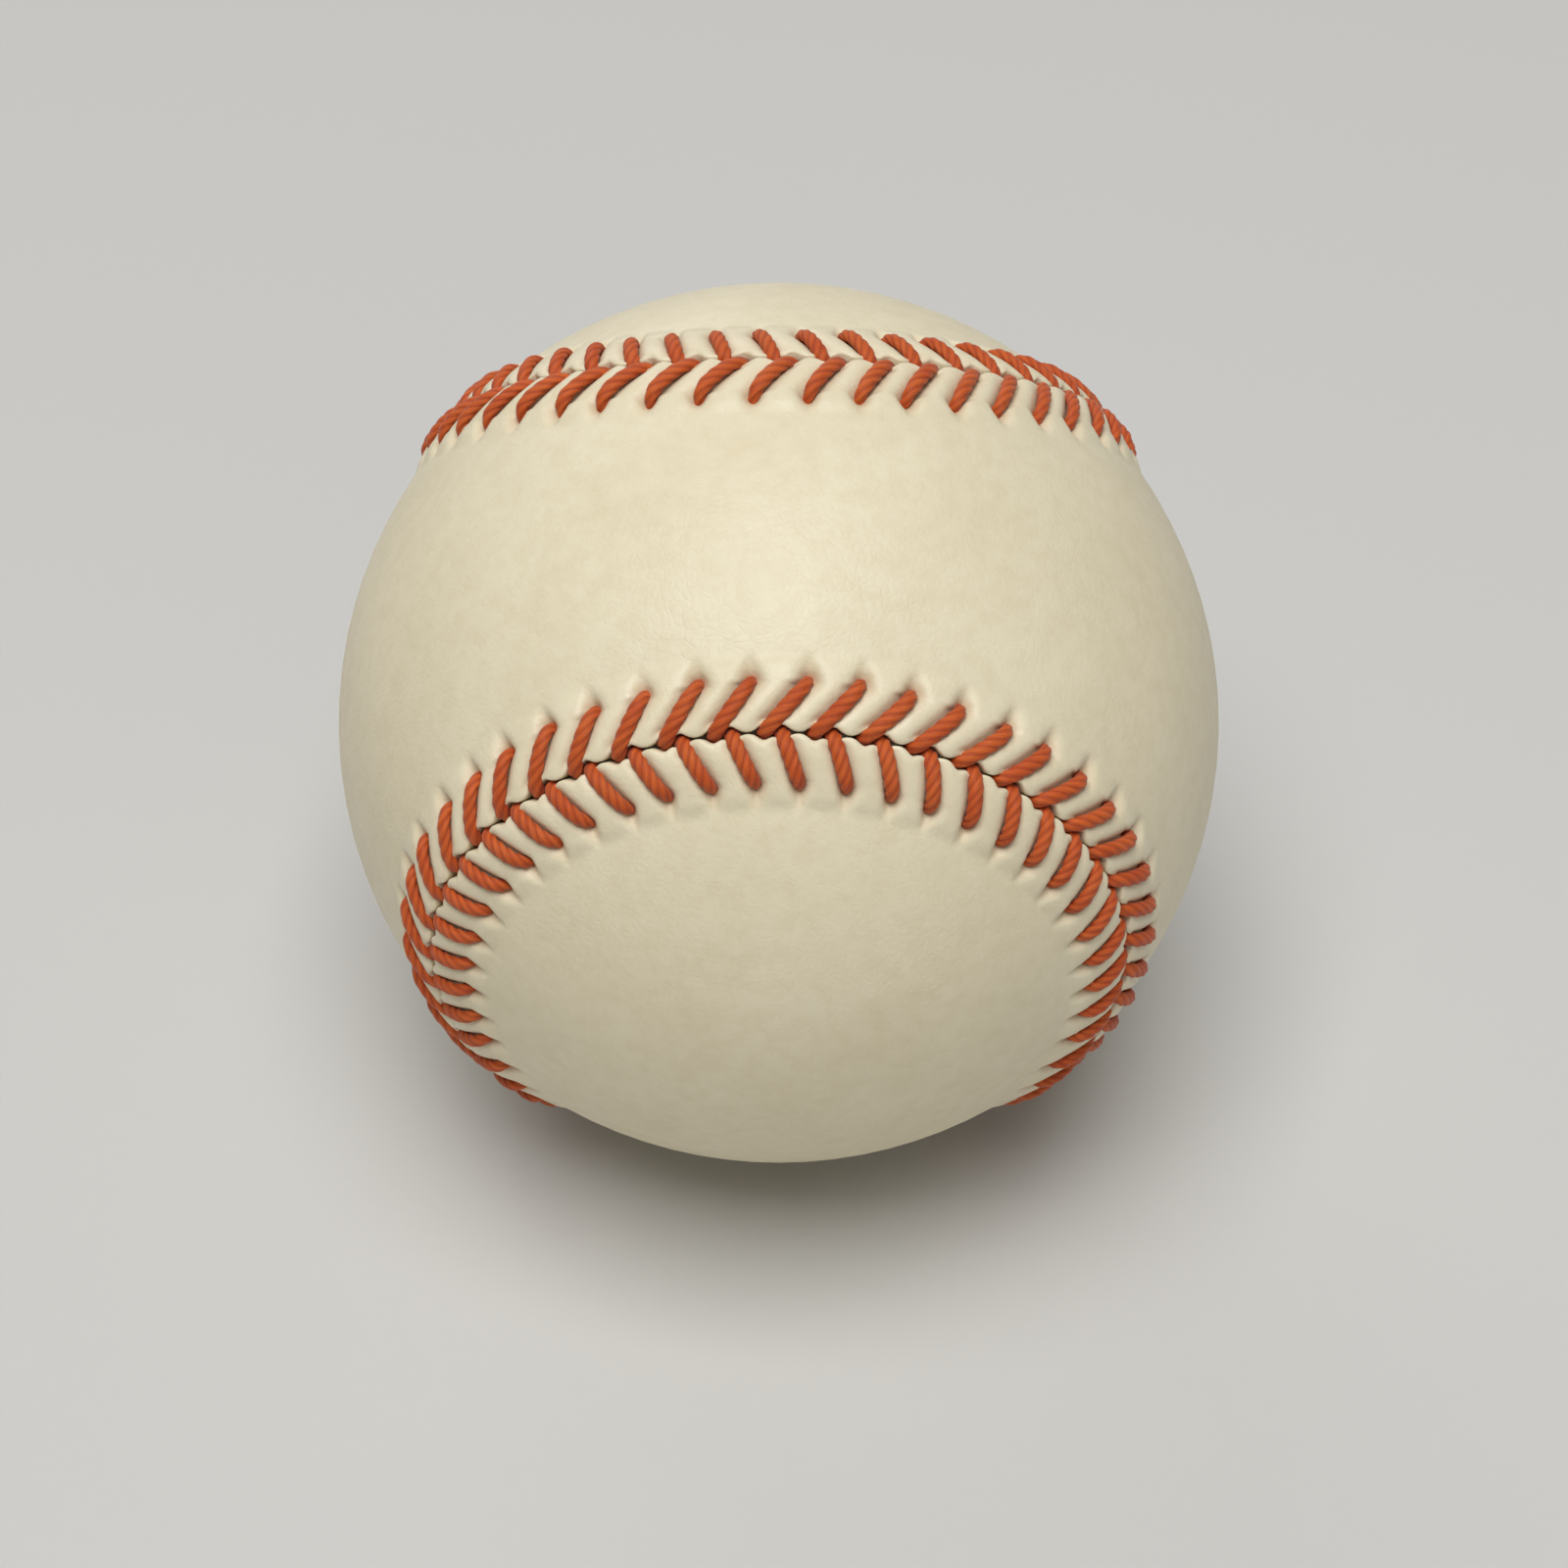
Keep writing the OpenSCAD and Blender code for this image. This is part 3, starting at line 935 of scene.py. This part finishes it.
def leather_colour(tree, place):
    """Broad mottling times small specks, and in the grooves a tan that is partly from rubbing and
    partly painted shade.
    """
    mottle = add_noise(tree, place, mottle_w, detail=4.0, roughness=0.55)
    colour = add_ramp(tree, mottle, [
        (0.30, linear(229, 218, 187)),
        (0.52, linear(232, 221, 191)),
        (0.75, linear(235, 225, 196)),
    ])
    speck = add_noise(tree, place, speck_w, detail=3.0, roughness=0.65)
    specks = add_ramp(tree, speck, [(0.35, linear(243, 240, 232)), (0.60, 1.0)])
    colour = add_mix(tree, speck_strength, colour, specks, "MULTIPLY")
    groove = painted_numbers(tree, "groove")["groove"]
    # painted shade and rubbing: the deeper the stitch groove, the more tan
    groove_shade_and_rub = add_math(tree, "MULTIPLY", groove, groove_shade_strength)
    return add_mix(tree, groove_shade_and_rub, colour, linear(186, 152, 116))


def leather_finish():
    """Ivory leather: mottled colour, an uneven shine, and dents, creases and pores as bump."""
    material, tree, shader = new_material("ivory_leather", Specular_IOR_Level=0.42, IOR=1.48)
    place = object_place(tree)
    gloss = add_ramp(tree, add_noise(tree, place, gloss_w), [(0.3, 0.38), (0.7, 0.47)])
    noise = {"Vector": place, "Scale": 1 / sway_w, "Detail": 3.0}
    sway = {0: add_node(tree, "TexNoise", noise).outputs["Color"], 1: (sway_far,) * 3, 2: place}
    swayed = add_node(tree, "VectorMath", sway, operation="MULTIPLY_ADD").outputs["Vector"]
    cells = {"Vector": swayed, "Scale": 1 / cell_w, "Randomness": 1.0}
    edge = add_node(tree, "TexVoronoi", cells, feature="DISTANCE_TO_EDGE").outputs["Distance"]
    creases = add_ramp(tree, edge, [(0.0, 0.0), (0.22, 1.0)])
    pores = add_noise(tree, place, pore_w)
    dents = add_noise(tree, place, dent_w)
    bumps = [(dents, dent_deep), (creases, crease_deep), (pores, pore_deep)]
    feed(tree, shader, bumps, Base_Color=leather_colour(tree, place), Roughness=gloss)
    return material


# %% Both covers
flesh_fibre_w, flesh_fibre_deep = 0.5 * MM, 0.12 * MM


def flesh_side_finish():
    """Raw underside and cut edge: matt, paler and fibrous."""
    material, tree, shader = new_material(
        "leather_flesh_side", Roughness=0.95, Specular_IOR_Level=0.15
    )
    fibres = add_noise(tree, object_place(tree), flesh_fibre_w, detail=5.0, roughness=0.7)
    colour = add_ramp(tree, fibres, [(0.3, linear(196, 176, 140)), (0.7, linear(226, 211, 180))])
    feed(tree, shader, [(fibres, flesh_fibre_deep)], Base_Color=colour)
    return material


leather_materials = [leather_finish(), flesh_side_finish()]
fit_out(make_cover("upper_leather_cover", 1, leather_materials), "leather", "upper_cover")
fit_out(make_cover("lower_leather_cover", -1, leather_materials), "leather", "lower_cover")

# %% [markdown]
# ## The red thread
#
# One length of waxed thread is sewn from both ends at once, so there are two strands. Each comes up
# through a hole, arches over the leather, goes down into the slit and runs hidden under the other
# cover to the next hole there. A curve with a bevel would give a smooth pipe. Here the strand is a
# surface: a centre line, and round it a section with four rounded plies that turns as it goes, so
# the twist is real shape. The section lies flatter where the leather presses it.

# %% Route of the thread
thread_bed = 0.35 * MM  # how far the thread beds into the leather
thread_r = thread_d / 2
run_r = cement_r + thread_r
arch_top_r = leather_r + seam_rise + thread_r - thread_bed
arch_samples, run_samples = 60, 30
squareness = 2.7  # 2 would make a round arch, and more gives a flatter top
arch_wide, arch_tall = 1.2, 0.96  # half width and half height, as shares of thread_r
run_wide, run_tall = 1.42, 0.58
run_sink = 0.2 * MM  # how much lower the flattened run lies
hole_pinch = 0.34  # how much narrower the strand is in its hole, as a share of thread_r
hole_pinch_reach = 0.75  # how far up the arch that reaches, in radians of turn


def thread_route(first_side):
    """Points along one strand in order, the direction along the seam at each, and its half width
    and half height there as shares of thread_r. Over the leather the height follows a squared-off
    circle above the straight line from hole to slit. Under it the strand runs straight to the next
    hole."""
    number = np.arange(stitch_count)
    side = np.where(number % 2 == 0, first_side, -first_side)
    row = row_of(side)
    hole_along = number * pitch + hole_shift[row, number]
    hole = seam_point(hole_along, side * (slit_gap / 2 + hole_aside + hole_stray[row, number]))
    slit_along = number * pitch + slit_lead(side)
    slit = seam_point(slit_along, 0.0)
    ahead = seam_point(slit_along + pitch, 0.0) - slit
    turn = np.linspace(0, math.pi, arch_samples, endpoint=False)
    across = (1 - np.sign(np.cos(turn)) * np.abs(np.cos(turn)) ** (2 / squareness)) / 2
    height = np.abs(np.sin(turn)) ** (2 / squareness)
    arch = hole[:, None] * (1 - across)[:, None] + slit[:, None] * across[:, None]
    arch_r = run_r + (arch_top_r - run_r) * height
    share = np.linspace(0, 1, run_samples, endpoint=False)
    run = slit[:, None] * (1 - share)[:, None] + np.roll(hole, -1, 0)[:, None] * share[:, None]
    under = np.sin(math.pi * share)
    legs = unit(np.concatenate([arch, run], 1))
    radii = np.concatenate([arch_r, run_r - run_sink * under])[:, None]
    pinch = hole_pinch * bell(turn / hole_pinch_reach)
    wide = np.concatenate([arch_wide - pinch, arch_wide + (run_wide - arch_wide) * under])
    tall = np.concatenate([arch_tall + 0 * turn, arch_tall + (run_tall - arch_tall) * under])
    forward = np.repeat(unit(ahead), len(radii), 0)
    section = np.tile(np.stack([wide, tall], -1), (stitch_count, 1))
    return (legs * radii).reshape(-1, 3), forward, section


print(f"the thread's back stands {(arch_top_r + thread_r - leather_r) / MM:.2f} mm proud")

# %% Even steps along the route


def even_steps(points, *others, step):
    """The closed line again with points a fixed step apart, and what else is known at each."""
    closed = np.concatenate([points, points[:1]])
    lengths = np.linalg.norm(np.diff(closed, axis=0), axis=1)
    travelled = np.concatenate([[0], np.cumsum(lengths)])
    count = int(round(travelled[-1] / step))
    places = travelled[-1] * np.arange(count) / count

    def again(values):
        """The values at the even places, on straight lines between the known ones."""
        table = np.concatenate([values, values[:1]]).reshape(len(travelled), -1)
        return np.stack([np.interp(places, travelled, column) for column in table.T], -1)

    return places, again(points), *[again(values) for values in others]


def smoothed(values, passes):
    """Each value of a closed row averaged with its two neighbours, a quarter each, that many
    times."""
    for _ in range(passes):
        values = values / 2 + (np.roll(values, 1, 0) + np.roll(values, -1, 0)) / 4
    return values


# %% Surface of the thread
thread_step = 0.21 * MM
thread_smoothing = 2  # passes
plies = 4
ply_points = 4  # points round each ply
ply_groove = 0.16  # depth of the groove between plies, as a share of thread_r
twist_length = 3.8 * MM  # length in which the plies turn once


def make_thread(name, first_side, material):
    """A ring of points at every step of the centre line. The ring turns with the twist, so a groove
    between plies follows one row of points. Round the ring the radius follows the size of half a
    cosine wave for each ply. Paints how deep in a groove a point is, and where on the untwisted
    strand it lies, in millimetres: two numbers across it and one along."""
    route = thread_route(first_side)
    places, centre, forward, section = even_steps(*route, step=thread_step)
    centre, forward, section = (smoothed(v, thread_smoothing) for v in (centre, forward, section))
    tangent = unit(np.roll(centre, -1, 0) - np.roll(centre, 1, 0))
    wide = unit(forward - np.einsum("ij,ij->i", forward, tangent)[:, None] * tangent)
    tall = np.cross(tangent, wide)
    columns = plies * ply_points
    around = 2 * math.pi * np.arange(columns) / columns
    length = places[-1] + places[1]
    turns = round(length / twist_length)
    angle = around[None, :] + 2 * math.pi * turns * places[:, None] / length
    lobe = np.abs(np.cos(plies * around / 2))[None, :]
    radius = thread_r * (1 - ply_groove + ply_groove * lobe)
    half_wide, half_tall = radius * section[:, :1], radius * section[:, 1:]
    points = centre[:, None] + (half_wide * np.cos(angle))[..., None] * wide[:, None]
    points = points + (half_tall * np.sin(angle))[..., None] * tall[:, None]
    last_ring = (len(centre) - 1) * columns
    closing = grid_faces(2, columns)
    closing = np.where(closing < columns, closing + last_ring, closing - columns)
    painted = {
        "valley": 1 - lobe,
        "across_x": thread_r / MM * np.cos(around)[None, :],
        "across_y": thread_r / MM * np.sin(around)[None, :],
        "along": places[:, None] / MM,
    }
    painted = {key: np.broadcast_to(values, angle.shape) for key, values in painted.items()}
    print(f"{name}: {length / MM:.0f} mm of thread with {turns} turns of twist")
    face_sets = [grid_faces(len(centre), columns), closing]
    return add_piece(name, at_rest(points.reshape(-1, 3)), face_sets, [material], painted)


# %% [markdown]
# ## Waxed thread
#
# The thread is cotton, dyed red and waxed, so it is matt with a soft sheen, and its dye is never
# quite even. Between the plies painted shade makes it a little darker. Its fibres have to follow
# the twist. Object coordinates don't know the twist, so the fibres read the numbers painted on the
# mesh.

# %% Waxed red thread
dye_w = 2.4 * MM  # the patches of uneven dye
fibre_w, fibre_deep = 0.13 * MM, 0.09 * MM
fibre_drawn = 0.09  # share of its length at which a fibre's pattern runs along the strand
streak_strength = 0.7
# how far painted shade darkens the valleys between the plies
valley_shade_strength = 0.62


def thread_finish():
    """Red waxed cotton: uneven dye, and painted shade that darkens it between the plies. The fibres
    are noise over the untwisted strand, drawn out along it, so they wind round with the plies."""
    material, tree, shader = new_material(
        "waxed_red_thread", Roughness=0.55, Specular_IOR_Level=0.32,
        Sheen_Weight=0.12, Sheen_Roughness=0.4,
    )
    read = painted_numbers(tree, "valley", "across_x", "across_y", "along")
    drawn_out = add_math(tree, "MULTIPLY", read["along"], fibre_drawn)
    untwisted = {0: read["across_x"], 1: read["across_y"], 2: drawn_out}
    strand = add_node(tree, "CombineXYZ", untwisted).outputs["Vector"]
    fibres = add_noise(tree, strand, fibre_w / MM, detail=4.0, roughness=0.65)
    dye = add_noise(tree, object_place(tree), dye_w, detail=3.0)
    colour = add_ramp(tree, dye, [(0.3, linear(208, 88, 30)), (0.7, linear(222, 108, 44))])
    streaks = add_ramp(tree, fibres, [(0.35, linear(214, 204, 196)), (0.62, 1.0)])
    colour = add_mix(tree, streak_strength, colour, streaks, "MULTIPLY")
    # painted shade between the plies: the valleys mix towards a dark red
    valley = add_math(tree, "MULTIPLY", read["valley"], valley_shade_strength)
    colour = add_mix(tree, valley, colour, linear(140, 42, 14))
    feed(tree, shader, [(fibres, fibre_deep)], Base_Color=colour)
    return material


red_thread = thread_finish()
fit_out(make_thread("red_thread_strand_one", 1, red_thread), "red_thread", "red_thread_first")
fit_out(make_thread("red_thread_strand_two", -1, red_thread), "red_thread", "red_thread_second")
